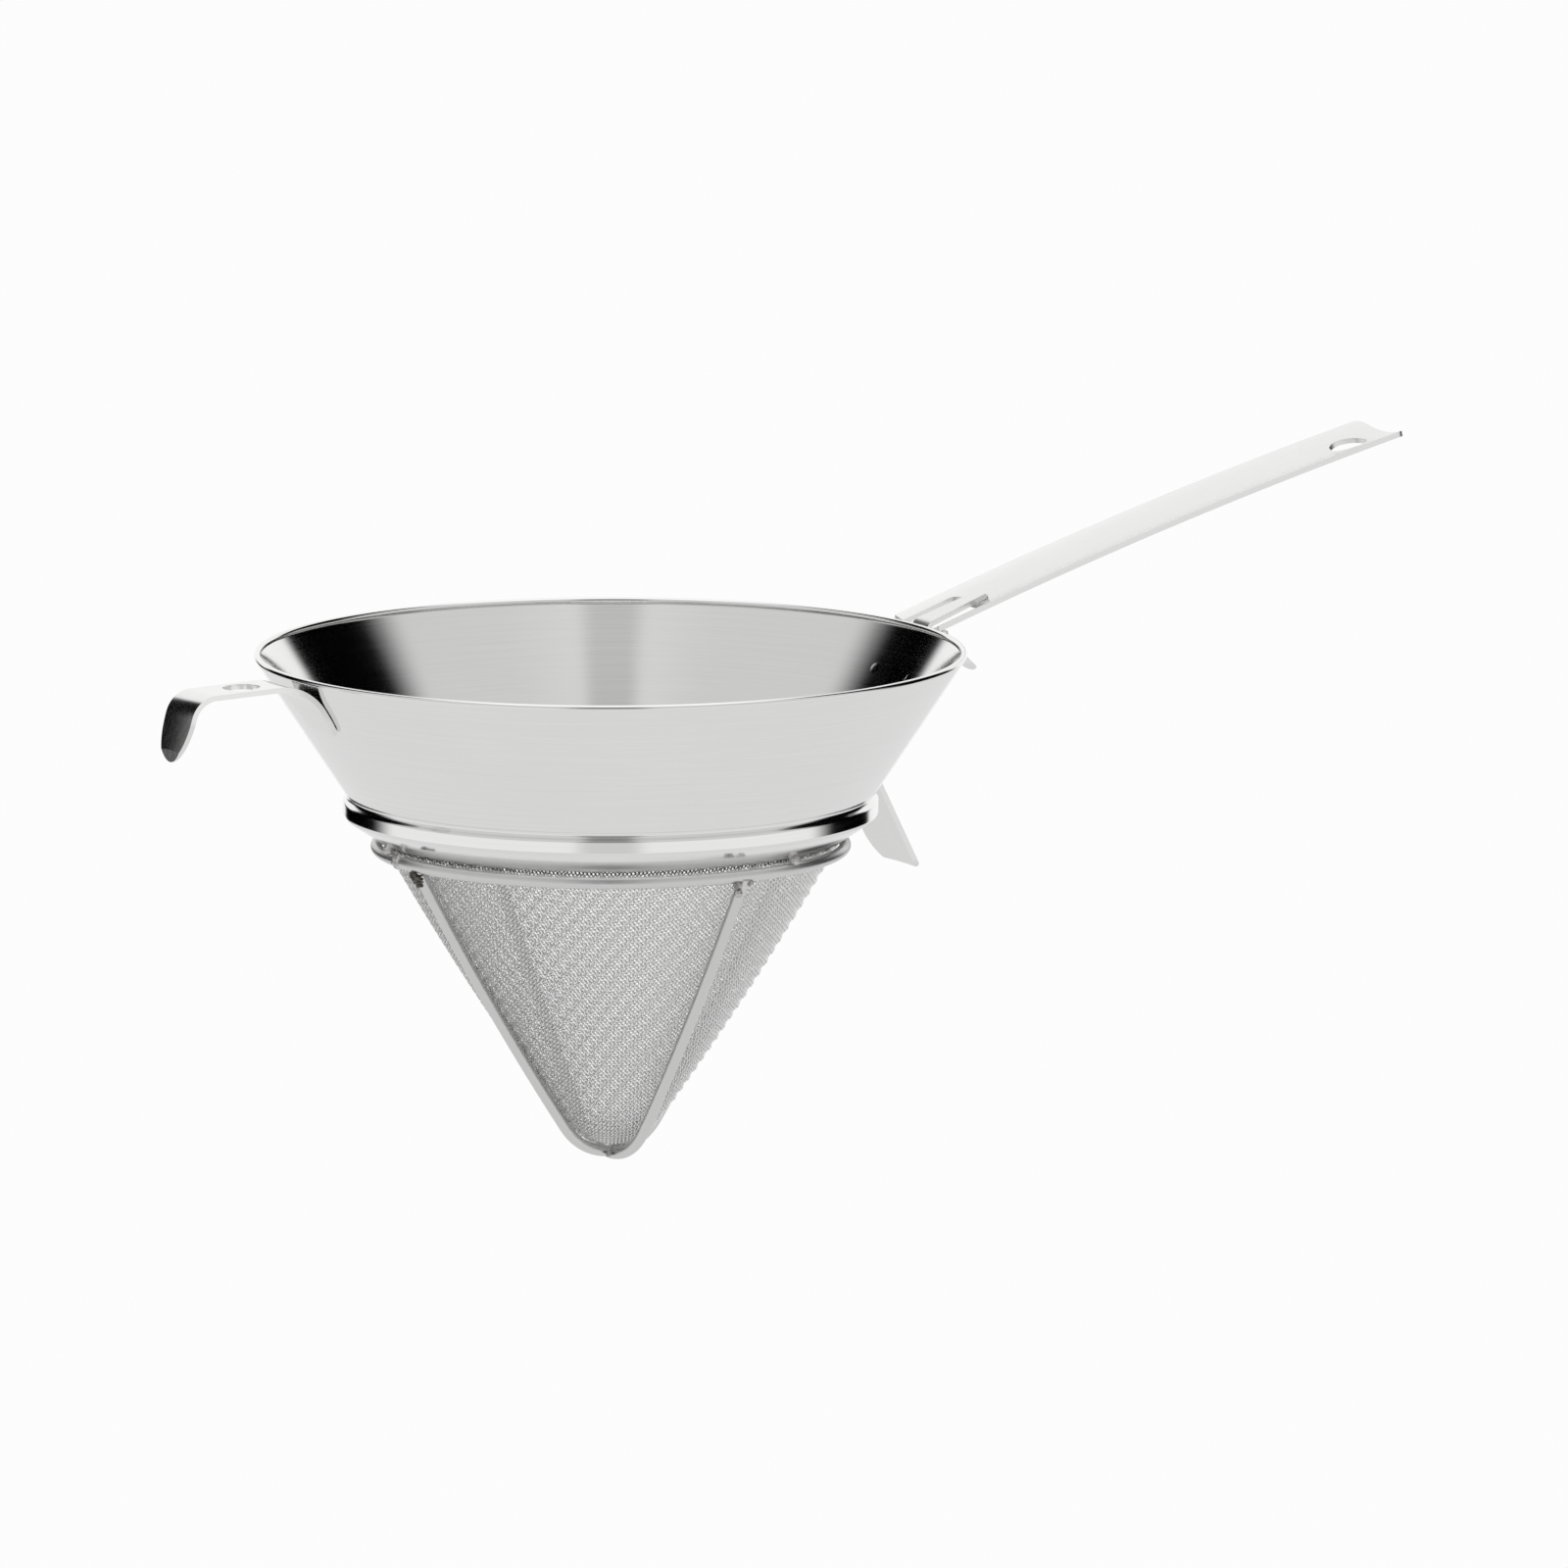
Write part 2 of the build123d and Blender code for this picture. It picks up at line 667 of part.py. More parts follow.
# Lapped seam of the cloth, a thin band down one side under the guard's bars
bow_turns = [math.atan2(way.Y, way.X) for way in (bow_top_way, join_way)]
seam_shares = (seam_top_share, seam_end_share)
seam_turns = [bow_turns[0] + (bow_turns[1] - bow_turns[0]) * share for share in seam_shares]
seam_turns.insert(1, sum(seam_turns) / 2)
seam_ways = [Vector(math.cos(turn), math.sin(turn)) for turn in seam_turns]
seam_half_angle = reach_angle(seam_width, cloth_tip_round)
with BuildPart() as mesh_seam:
    with BuildSketch(upright(seam_azimuth + seam_half_angle)) as seam_section:
        with BuildLine():
            seam_inside = [off_bow(way, seam_clearance) for way in seam_ways]
            seam_outside = [off_bow(way, seam_clearance + seam_thickness) for way in seam_ways]
            ThreePointArc(*seam_inside)
            ThreePointArc(*seam_outside)
            Line(seam_inside[0], seam_outside[0])
            Line(seam_inside[2], seam_outside[2])
        make_face()
    revolve(axis=Axis.Z, revolution_arc=-2 * seam_half_angle)
    with BuildSketch(upright(seam_azimuth)) as seam_run:
        with Locations((rim_radius / 2, -cloth_tip_depth / 2)):
            Rectangle(rim_radius, cloth_tip_depth)
    extrude(amount=seam_width / 2, both=True, mode=Mode.INTERSECT)
mesh_seam.part.label = "mesh_seam"
export_step(mesh_seam.part, "parts/mesh_seam.step")
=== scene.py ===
"""Chinois strainer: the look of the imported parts, the wire cloth and the welds, and a pale studio."""

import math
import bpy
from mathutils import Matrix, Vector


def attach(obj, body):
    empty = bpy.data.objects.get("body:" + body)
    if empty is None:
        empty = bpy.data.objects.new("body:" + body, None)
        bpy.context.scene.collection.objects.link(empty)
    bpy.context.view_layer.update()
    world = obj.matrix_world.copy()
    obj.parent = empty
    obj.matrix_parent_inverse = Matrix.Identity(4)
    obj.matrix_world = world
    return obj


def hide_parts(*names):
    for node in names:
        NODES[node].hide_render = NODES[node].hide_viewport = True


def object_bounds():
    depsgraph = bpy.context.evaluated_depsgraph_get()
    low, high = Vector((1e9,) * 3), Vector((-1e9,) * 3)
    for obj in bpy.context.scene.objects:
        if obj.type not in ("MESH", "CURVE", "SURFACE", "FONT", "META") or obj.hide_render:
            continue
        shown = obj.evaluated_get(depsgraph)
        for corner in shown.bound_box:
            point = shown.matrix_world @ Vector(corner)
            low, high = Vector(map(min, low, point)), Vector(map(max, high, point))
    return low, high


bl_info = {
    "name": "Chinois Strainer",
    "version": (1, 0, 0),
    "blender": (4, 5, 0),
    "location": "View3D > Sidebar > Chinois",
    "description": "Steel finishes, woven cloth cone, welds and studio for a conical strainer",
    "category": "Object",
}

import bpy
import numpy as np
from mathutils import Vector

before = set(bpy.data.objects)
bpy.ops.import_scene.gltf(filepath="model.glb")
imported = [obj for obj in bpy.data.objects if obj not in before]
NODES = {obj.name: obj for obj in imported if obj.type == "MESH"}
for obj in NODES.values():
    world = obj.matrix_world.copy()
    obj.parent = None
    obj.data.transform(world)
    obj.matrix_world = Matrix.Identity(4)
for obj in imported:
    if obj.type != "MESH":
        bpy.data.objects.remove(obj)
CAD_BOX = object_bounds()
MM = 0.001

# The weave: points on the cloth's side view, how far the wires miss the apex and how much round it stays open,
# both in pitches, and the angles from the flat cloth's grain where the ripples begin and over which they grow
SIDE_VIEW_POINTS = 1500
APEX_MISS = 0.13
APEX_OPEN = 0.3
RIPPLE_START = math.radians(8)
RIPPLE_GROWTH = math.radians(17)
# Azimuth where the wires are cut into the halves of a family, and again opposite to it
HALVES_AZIMUTH = math.radians(3.159)
# Least length that a direction is divided by
LEAST_LENGTH = 1e-9

# Lumps of weld: (radius, height, aside), the sizes outwards, round and up, all in millimetres, and the phase
BLACK_BLOB = (
    ((65.2, -58.0, 0.0), (1.7, 1.7, 1.6), 0.3),
    ((64.4, -59.6, 0.0), (1.5, 1.4, 1.6), 1.7),
    ((66.3, -57.4, 0.0), (1.1, 1.5, 1.1), 2.9),
)
THREE_LOBES = (
    ((66.4, -57.4, -2.4), (1.2, 1.3, 1.0), 0.5),
    ((66.4, -56.9, 1.3), (1.2, 1.4, 1.0), 1.9),
    ((65.6, -59.8, -1.6), (1.1, 1.2, 1.2), 3.1),
)
HOOP_SLEEVE = (((65.9, -55.2, 0.0), (2.1, 2.5, 2.1), 0.4),)
HOOP_TACK = (((66.5, -52.8, 0.0), (1.3, 1.9, 1.3), 0.0),)
HANDLE_ROOTS = (
    ((101.3, -1.5, -12.0), (1.2, 1.5, 1.1), 0.0),
    ((101.3, -1.5, 12.0), (1.2, 1.5, 1.1), 2.0),
)
PRONG_TIP = (
    ((121.0, 5.9, -0.8), (1.3, 1.2, 0.8), 1.2),
    ((121.0, 5.9, 0.7), (1.3, 1.2, 0.8), 2.7),
)
# The black blob is this much more uneven than the other lumps
BLOB_UNEVENNESS = 2.0

# Stretch of the brushing lines: none, along the strips, and round the axis
EVEN = (1.0, 1.0, 1.0)
ALONG = (0.04, 1.0, 0.3)
TURNED = (0.6, 1.0, 1.0)
# Roughness, stretch, whether the lines run round the axis, their depth, and the spread of the roughness
BOWL_FINISH = (0.11, TURNED, True, 0.01, 0.02)
CLAMP_FINISH = (0.22, TURNED, True, 0.02, 0.03)
STRIP_FINISH = (0.32, ALONG, False, 0.03, 0.04)
HOOK_FINISH = (0.17, ALONG, False, 0.02, 0.03)
GUARD_FINISH = (0.34, EVEN, False, 0.04, 0.05)
WARP_FINISH = (0.16, EVEN, False, 0.02, 0.04)
WEFT_FINISH = (0.26, EVEN, False, 0.02, 0.04)
# Scale and detail of the noise in fine lines, broad mottle and burnt blotches
FINE_NOISE = (1500.0, 3.0)
MOTTLE_NOISE = (30.0, 2.0)
BLOTCH_NOISE = (420.0, 4.0)
NOISE_ROUGHNESS = 0.6
# The part of the noise's range that spreads the roughness, and the shares of lines and mottle in it
NOISE_SPAN = (0.3, 0.7)
FINE_SHARE = 0.7
MOTTLE_SHARE = 0.3
DARKER_TINT = 0.93
LIGHTER_TINT = 1.05
# Share of X in the turned pattern, so that its lines run nearly unbroken round the axis
TURNED_SHARE = 0.035
GRAIN_RELIEF = 0.4 * MM
DENT_RELIEF = 0.2 * MM
WELD_RELIEF = 0.3 * MM
DENT_STRENGTH = 0.3
WELD_STRENGTH = 0.4
# Weld metal: where the blotches turn from dark to light, its metallic share, and its roughness dark and light
BLOTCH_EDGE = (0.40, 0.62)
WELD_METALLIC = 0.9
WELD_ROUGHNESS = (0.55, 0.28)
# How far from a spot weld's middle its dent begins to rise, and how far out it ends
DENT_EDGE = (0.7 * MM, 1.8 * MM)
# Spot welds as the bowl's wall shows them, under the rear strap and the hook's flange
SPOT_MARKS = tuple(
    (x * MM, side * y * MM, z * MM)
    for x, y, z in ((91.0, 8.6, -13.4), (82.8, 8.6, -25.9), (-92.0, 4.2, -12.5))
    for side in (-1, 1)
)
SPOT_WELD_DARK = (0.30, 0.28, 0.26)
# Shades of weld metal: light on the burnt lumps, dark on the grey ones, and light and dark on the ground ones
BURNT_LIGHT = 5
GREY_DARK = 0.45
GROUND_LIGHT = 1.3
GROUND_DARK = 0.9
# Painted shade: the heights between which the cloth in the crevice under the collar turns dark, and the dark
# colour, which stand in for the shade in that crevice
CREVICE_PAINTED_SHADE = (-53.6 * MM, -52.9 * MM)
PAINTED_SHADE_COLOUR = (0.06, 0.055, 0.05, 1.0)


# Shapes worked out with numpy


def new_piece(name, points, quads, material):
    """A mesh piece from points in metres and four-cornered faces, on the body, with its finish."""
    mesh = bpy.data.meshes.new(name)
    mesh.vertices.add(len(points))
    mesh.vertices.foreach_set("co", points.astype(np.float32).ravel())
    corners = quads.ravel().astype(np.int32)
    mesh.loops.add(len(corners))
    mesh.loops.foreach_set("vertex_index", corners)
    mesh.polygons.add(len(quads))
    mesh.polygons.foreach_set("loop_start", np.arange(0, len(corners), 4, dtype=np.int32))
    mesh.polygons.foreach_set("use_smooth", np.full(len(quads), True))
    mesh.update(calc_edges=True)
    mesh.validate()
    piece = bpy.data.objects.new(name, mesh)
    bpy.context.scene.collection.objects.link(piece)
    mesh.materials.append(material)
    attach(piece, "root")
    return piece


def cloth_side_view(share, look):
    """The cloth's middle line in its side view: a bow of large radius that runs into a round tip.

    share 0 is the upper edge and 1 the tip's pole. The bow is an arc about the bow's centre, the tip an
    arc about the tip's centre, and both meet where their centres line up. Returns radius, height and the
    outward direction, all as arrays.
    """
    tip_r = look.tip_round
    tip_centre = np.array([0.0, tip_r - look.tip_depth])
    top = np.array([look.top_radius, -look.top_depth])
    reach = look.bow_radius - tip_r
    chord = top - tip_centre
    size = np.hypot(*chord)
    along = (reach**2 - look.bow_radius**2 + size**2) / (2 * size)
    aside = math.sqrt(reach**2 - along**2)
    way = chord / size
    bow_centre = tip_centre + way * along + np.array([-way[1], way[0]]) * aside
    join = (tip_centre - bow_centre) / reach
    top_turn = math.atan2(*(top - bow_centre)[::-1])
    join_turn = math.atan2(join[1], join[0])
    bow_length = (top_turn - join_turn) * look.bow_radius
    tip_length = (join_turn + math.pi / 2) * tip_r
    run = share * (bow_length + tip_length)
    on_bow = run < bow_length
    turn = np.where(on_bow, top_turn - run / look.bow_radius, join_turn - (run - bow_length) / tip_r)
    radius = np.where(on_bow, look.bow_radius, tip_r)
    centre_x = np.where(on_bow, bow_centre[0], tip_centre[0])
    centre_z = np.where(on_bow, bow_centre[1], tip_centre[1])
    mid = radius - look.cloth_thickness / 2
    out_x, out_z = np.cos(turn), np.sin(turn)
    return centre_x + mid * out_x, centre_z + mid * out_z, out_x, out_z


def ripple_depth(look, flat, theta):
    """How far the ripples lower the cloth, where it is rolled askew to its wires.

    It is the ridge height times (1 - cosine) of the distance square to the family that runs nearer to level
    there, and grows as 3x^2 - 2x^3 from RIPPLE_START to RIPPLE_GROWTH beyond it.
    """
    askew = np.clip((np.abs(theta) - RIPPLE_START) / RIPPLE_GROWTH, 0, 1)
    lean_side = np.where(theta > 0, 1, -1)[..., None]
    level = lean_side * np.array([math.sin(look.wire_lean), 0]) + np.array([0, math.cos(look.wire_lean)])
    ripple = 1 - np.cos((flat * level).sum(axis=-1) * 2 * math.pi / look.ridge_pitch)
    return look.ridge_height * askew**2 * (3 - 2 * askew) * ripple


def woven_family(look, family):
    """One family of the cloth's wires, as rings of four points, joins and azimuths.

    The cloth is flat before it is rolled. Its two families of straight wires lean to either side of the
    line down the cone at the grain azimuth. A wire is the line whose distance from the apex, square to the
    family, is a whole number of pitches and APEX_MISS of one. It passes over and under the other family by
    one wire radius at alternate crossings with that family's wires. Flat polar coordinates (rho, theta) go
    on the cone as radius = k rho and azimuth = theta / k, so that lengths round the cone are kept. Every
    wire is a tube of four sides, with a ring a quarter of a pitch before and after each crossing.
    """
    pitch = look.wire_pitch
    wire_r = look.wire_thickness / 2
    k = look.roll_share
    lean = look.wire_lean if family == 0 else -look.wire_lean
    along = np.array([math.cos(lean), math.sin(lean)])
    across = np.array([-math.sin(lean), math.cos(lean)])
    other = np.array([math.sin(lean), math.cos(lean)])
    rim_r, rim_z, out_r, out_z = cloth_side_view(np.linspace(0.0, 1.0, SIDE_VIEW_POINTS), look)
    order = np.argsort(rim_r)
    rho_top = rim_r.max() / k
    reach = int(rho_top / pitch) + 2
    lines = np.arange(-reach, reach + 1)
    steps = (np.arange(-2 * reach, 2 * reach) + 0.5) / 2
    line_at = (lines + APEX_MISS)[:, None] * pitch + np.zeros_like(steps)[None, :]
    run = ((steps + APEX_MISS)[None, :] * pitch - line_at * across.dot(other)) / along.dot(other)
    lift = np.where((np.round(steps)[None, :] + lines[:, None]) % 2 == 0, wire_r, -wire_r)
    if family:
        lift = -lift
    flat = line_at[..., None] * across + run[..., None] * along
    rho = np.hypot(flat[..., 0], flat[..., 1])
    theta = np.arctan2(flat[..., 1], flat[..., 0])
    start = k * (look.seam_azimuth - look.grain_azimuth)
    theta = start + np.mod(theta - start, 2 * math.pi)
    lift = lift - ripple_depth(look, flat, theta)
    inside = (rho < rho_top) & (theta < start + 2 * math.pi * k) & (rho > pitch * APEX_OPEN)
    azimuth = theta / k + look.grain_azimuth
    radius = k * rho
    height = np.interp(radius, rim_r[order], rim_z[order])
    way_r = np.interp(radius, rim_r[order], out_r[order])
    way_z = np.interp(radius, rim_r[order], out_z[order])
    normal = np.stack([way_r * np.cos(azimuth), way_r * np.sin(azimuth), way_z], axis=-1)
    normal /= np.linalg.norm(normal, axis=-1, keepdims=True)
    centre = np.stack([radius * np.cos(azimuth), radius * np.sin(azimuth), height], axis=-1)
    centre = centre + normal * lift[..., None]
    tangent = np.gradient(centre, axis=1)
    tangent /= np.maximum(np.linalg.norm(tangent, axis=-1, keepdims=True), LEAST_LENGTH)
    side = np.cross(tangent, normal)
    side /= np.maximum(np.linalg.norm(side, axis=-1, keepdims=True), LEAST_LENGTH)
    up = np.cross(side, tangent)
    corner = np.arange(4) * math.pi / 2 + math.pi / 4
    swell = wire_r * look.wire_swell
    ring = (
        centre[:, :, None, :]
        + swell * np.cos(corner)[None, None, :, None] * side[:, :, None, :]
        + swell * np.sin(corner)[None, None, :, None] * up[:, :, None, :]
    )
    joined = inside[:, :-1] & inside[:, 1:]
    joined &= np.linalg.norm(centre[:, 1:] - centre[:, :-1], axis=-1) < 2 * pitch
    return ring, joined, azimuth


def tube_faces(joined, width):
    """Outward faces of tubes of four sides: walls between joined rings and a cap at each free end."""
    line, at = np.nonzero(joined)
    base = (line * width + at) * 4
    turn = np.arange(4)
    turned = (turn + 1) % 4
    low = base[:, None]
    walls = np.stack([low + turn, low + 4 + turn, low + 4 + turned, low + turned], axis=-1).reshape(-1, 4)
    padded = np.pad(joined, ((0, 0), (1, 1)))
    begins = padded[:, 1:] & ~padded[:, :-1]
    ends = ~padded[:, 1:] & padded[:, :-1]
    line, at = np.nonzero(begins)
    caps_low = ((line * width + at) * 4)[:, None] + np.array([0, 1, 2, 3])
    line, at = np.nonzero(ends)
    caps_high = ((line * width + at) * 4)[:, None] + np.array([3, 2, 1, 0])
    return np.concatenate([walls, caps_low, caps_high])


def used_only(points, quads):
    """The points that faces use, and the faces with their new numbers."""
    used = np.unique(quads)
    number = np.full(len(points), -1)
    number[used] = np.arange(len(used))
    return points[used], number[quads]


def ball_grid(rings=18, sides=24):
    """Directions on a ball, rows from pole to pole and columns round it, and the faces between them."""
    tilt = (np.arange(rings) + 0.5) / rings * math.pi
    turn = np.arange(sides) / sides * 2 * math.pi
    tilt_at, turn_at = np.meshgrid(tilt, turn, indexing="ij")
    ways = [np.sin(tilt_at) * np.cos(turn_at), np.sin(tilt_at) * np.sin(turn_at), np.cos(tilt_at)]
    row = np.arange(rings - 1)[:, None] * sides
    column = np.arange(sides)[None, :]
    beside = (column + 1) % sides
    quads = np.stack([row + column, row + sides + column, row + sides + beside, row + beside], axis=-1)
    column = np.arange(0, sides, 2)
    after, next_after = column + 1, (column + 2) % sides
    top = np.full(len(column), rings * sides)
    last = (rings - 1) * sides
    lid = np.stack([top, column, after, next_after], axis=-1)
    floor = np.stack([top + 1, last + next_after, last + after, last + column], axis=-1)
    ways = np.concatenate([np.stack(ways, axis=-1).reshape(-1, 3), [[0, 0, 1], [0, 0, -1]]])
    return ways, np.concatenate([quads.reshape(-1, 4), lid, floor])


def weld_lump(centre, sizes, azimuth, unevenness, phase):
    """A lump of weld: a ball stretched outwards, round the axis and upwards, with an uneven surface.

    Its radius is 1 + u (sin(5x + p) sin(6y + 2p) + 0.7 sin(9z + 3x + p)) times the stretched ball's.
    """
    ways, quads = ball_grid()
    x, y, z = ways.T
    swell = np.sin(5 * x + phase) * np.sin(6 * y + 2 * phase) + 0.7 * np.sin(9 * z + 3 * x + phase)
    local = ways * (1 + unevenness * swell)[:, None] * np.array(sizes)
    outward, sideways = radial_ways(azimuth)
    return np.array(centre) + local @ np.array([outward, sideways, (0.0, 0.0, 1.0)]), quads


def radial_ways(azimuth):
    """The outward direction at an azimuth, and the direction round the axis there."""
    return (math.cos(azimuth), math.sin(azimuth), 0.0), (-math.sin(azimuth), math.cos(azimuth), 0.0)


def place_at(radius, azimuth, height, aside):
    """The point at a radius, azimuth and height, moved aside round the axis."""
    outward, sideways = np.array(radial_ways(azimuth))
    return outward * radius + sideways * aside + np.array([0.0, 0.0, height])


def lumps_at(places, azimuth, unevenness, shift=0.0):
    """The lumps of a table, all facing one azimuth, with a shift of their phase."""
    return [
        weld_lump(place_at(radius, azimuth, height, aside), sizes, azimuth, unevenness, phase + shift)
        for (radius, height, aside), sizes, phase in places
    ]


def joined_lumps(lumps):
    """Several lumps in one mesh."""
    starts = np.cumsum([0] + [len(points) for points, quads in lumps])
    points = np.concatenate([points for points, quads in lumps])
    return points, np.concatenate([quads + start for (_, quads), start in zip(lumps, starts)])


# Materials


def node_maker(name):
    """A fresh node material and its tree, emptied but for the shader and the output."""
    material = bpy.data.materials.new(name)
    material.use_nodes = True
    tree = material.node_tree
    tree.nodes.clear()
    output = tree.nodes.new("ShaderNodeOutputMaterial")
    shader = tree.nodes.new("ShaderNodeBsdfPrincipled")
    tree.links.new(shader.outputs["BSDF"], output.inputs["Surface"])
    return material, tree, shader


def shade(colour, share):
    """A colour times a share, at most white."""
    return tuple(min(c * share, 1.0) for c in colour)


def math_node(tree, operation, first, second=None):
    """A math node fed by sockets or numbers."""
    node = tree.nodes.new("ShaderNodeMath")
    node.operation = operation
    for place, value in enumerate((first, second)):
        if value is None:
            continue
        if isinstance(value, (int, float)):
            node.inputs[place].default_value = value
        else:
            tree.links.new(value, node.inputs[place])
    return node.outputs[0]


def smooth_step(tree, value, start, end):
    """0 before start, 1 after end, smooth between."""
    fall = tree.nodes.new("ShaderNodeMapRange")
    fall.interpolation_type = "SMOOTHSTEP"
    fall.inputs["From Min"].default_value = start
    fall.inputs["From Max"].default_value = end
    tree.links.new(value, fall.inputs["Value"])
    return fall.outputs["Result"]


def blend_values(tree, share, first, second):
    """first where share is 0 and second where it is 1."""
    return math_node(
        tree,
        "ADD",
        math_node(tree, "MULTIPLY", math_node(tree, "SUBTRACT", 1.0, share), first),
        math_node(tree, "MULTIPLY", share, second),
    )


def brush_lines(tree, coordinates, stretch, fineness, detail):
    """Fine lines of brushing: noise on Object coordinates, squeezed across the brushing direction."""
    mapping = tree.nodes.new("ShaderNodeMapping")
    mapping.inputs["Scale"].default_value = stretch
    tree.links.new(coordinates, mapping.inputs["Vector"])
    noise = tree.nodes.new("ShaderNodeTexNoise")
    noise.inputs["Scale"].default_value = fineness
    noise.inputs["Detail"].default_value = detail
    noise.inputs["Roughness"].default_value = NOISE_ROUGHNESS
    tree.links.new(mapping.outputs["Vector"], noise.inputs["Vector"])
    return noise.outputs["Fac"]


def turned_coordinates(tree):
    """Coordinates (a share of X, height, radius), on which a pattern's lines run round the axis."""
    place = tree.nodes.new("ShaderNodeTexCoord")
    split = tree.nodes.new("ShaderNodeSeparateXYZ")
    tree.links.new(place.outputs["Object"], split.inputs[0])
    across = math_node(tree, "MULTIPLY", split.outputs["X"], split.outputs["X"])
    deep = math_node(tree, "MULTIPLY", split.outputs["Y"], split.outputs["Y"])
    radius = math_node(tree, "SQRT", math_node(tree, "ADD", across, deep))
    join = tree.nodes.new("ShaderNodeCombineXYZ")
    tree.links.new(math_node(tree, "MULTIPLY", split.outputs["X"], TURNED_SHARE), join.inputs["X"])
    tree.links.new(split.outputs["Z"], join.inputs["Y"])
    tree.links.new(radius, join.inputs["Z"])
    return join.outputs["Vector"]


def steel(name, colour, roughness, lines, round_axis, depth, spread, spots=(), painted_shade=None):
    """Steel with brushing lines and a soft mottle in its roughness, colour and relief.

    It may have spot-weld dents, and painted shade: a dark colour that sets in between two heights and covers all
    above.
    """
    material, tree, shader = node_maker(name)
    shader.inputs["Metallic"].default_value = 1.0
    place = tree.nodes.new("ShaderNodeTexCoord")
    coordinates = turned_coordinates(tree) if round_axis else place.outputs["Object"]
    fine = brush_lines(tree, coordinates, lines, *FINE_NOISE)
    broad = brush_lines(tree, place.outputs["Object"], EVEN, *MOTTLE_NOISE)
    fine_part = math_node(tree, "MULTIPLY", fine, FINE_SHARE)
    blend = math_node(tree, "ADD", fine_part, math_node(tree, "MULTIPLY", broad, MOTTLE_SHARE))
    rough = tree.nodes.new("ShaderNodeMapRange")
    rough.inputs["From Min"].default_value = NOISE_SPAN[0]
    rough.inputs["From Max"].default_value = NOISE_SPAN[1]
    rough.inputs["To Min"].default_value = roughness - spread
    rough.inputs["To Max"].default_value = roughness + spread
    tree.links.new(blend, rough.inputs["Value"])
    tree.links.new(rough.outputs["Result"], shader.inputs["Roughness"])
    tint = tree.nodes.new("ShaderNodeMixRGB")
    tint.inputs["Color1"].default_value = (*shade(colour, DARKER_TINT), 1.0)
    tint.inputs["Color2"].default_value = (*shade(colour, LIGHTER_TINT), 1.0)
    tree.links.new(blend, tint.inputs["Fac"])
    tree.links.new(tint.outputs["Color"], shader.inputs["Base Color"])
    if painted_shade:
        # Painted shade: the colour turns dark above the given heights, standing in for the shade in the crevice
        # under the collar
        split = tree.nodes.new("ShaderNodeSeparateXYZ")
        tree.links.new(place.outputs["Object"], split.inputs[0])
        darker = tree.nodes.new("ShaderNodeMixRGB")
        darker.inputs["Color2"].default_value = PAINTED_SHADE_COLOUR
        tree.links.new(smooth_step(tree, split.outputs["Z"], *painted_shade), darker.inputs["Fac"])
        tree.links.new(tint.outputs["Color"], darker.inputs["Color1"])
        tree.links.new(darker.outputs["Color"], shader.inputs["Base Color"])
    bump = tree.nodes.new("ShaderNodeBump")
    bump.inputs["Strength"].default_value = depth
    bump.inputs["Distance"].default_value = GRAIN_RELIEF
    tree.links.new(fine, bump.inputs["Height"])
    normal = bump.outputs["Normal"]
    if spots:
        dents = spot_dents(tree, place.outputs["Object"], spots)
        press = tree.nodes.new("ShaderNodeBump")
        press.inputs["Strength"].default_value = DENT_STRENGTH
        press.inputs["Distance"].default_value = DENT_RELIEF
        tree.links.new(dents, press.inputs["Height"])
        tree.links.new(normal, press.inputs["Normal"])
        normal = press.outputs["Normal"]
    tree.links.new(normal, shader.inputs["Normal"])
    return material


def spot_dents(tree, coordinates, spots):
    """Round dents where the welding tip pressed: 0 in the middle of a spot, 1 outside all of them."""
    total = None
    for spot in spots:
        gap = tree.nodes.new("ShaderNodeVectorMath")
        gap.operation = "DISTANCE"
        tree.links.new(coordinates, gap.inputs[0])
        gap.inputs[1].default_value = spot
        dent = smooth_step(tree, gap.outputs["Value"], *DENT_EDGE)
        total = dent if total is None else math_node(tree, "MULTIPLY", total, dent)
    return total


def burnt_steel(name, colour, dark):
    """Weld metal: bright where smooth, dark and rough in blotches of heat tint."""
    material, tree, shader = node_maker(name)
    place = tree.nodes.new("ShaderNodeTexCoord")
    blotch = brush_lines(tree, place.outputs["Object"], EVEN, *BLOTCH_NOISE)
    ramp = tree.nodes.new("ShaderNodeValToRGB")
    ramp.color_ramp.elements[0].position = BLOTCH_EDGE[0]
    ramp.color_ramp.elements[0].color = (*dark, 1.0)
    ramp.color_ramp.elements[1].position = BLOTCH_EDGE[1]
    ramp.color_ramp.elements[1].color = (*colour, 1.0)
    tree.links.new(blotch, ramp.inputs["Fac"])
    tree.links.new(ramp.outputs["Color"], shader.inputs["Base Color"])
    shader.inputs["Metallic"].default_value = WELD_METALLIC
    rough = tree.nodes.new("ShaderNodeMapRange")
    rough.inputs["To Min"].default_value = WELD_ROUGHNESS[0]
    rough.inputs["To Max"].default_value = WELD_ROUGHNESS[1]
    tree.links.new(blotch, rough.inputs["Value"])
    tree.links.new(rough.outputs["Result"], shader.inputs["Roughness"])
    bump = tree.nodes.new("ShaderNodeBump")
    bump.inputs["Strength"].default_value = WELD_STRENGTH
    bump.inputs["Distance"].default_value = WELD_RELIEF
    tree.links.new(blotch, bump.inputs["Height"])
    tree.links.new(bump.outputs["Normal"], shader.inputs["Normal"])
    return material


def dress(node, material):
    """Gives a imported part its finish."""
    part = NODES[node]
    part.data.materials.clear()
    part.data.materials.append(material)


# Values a user would change


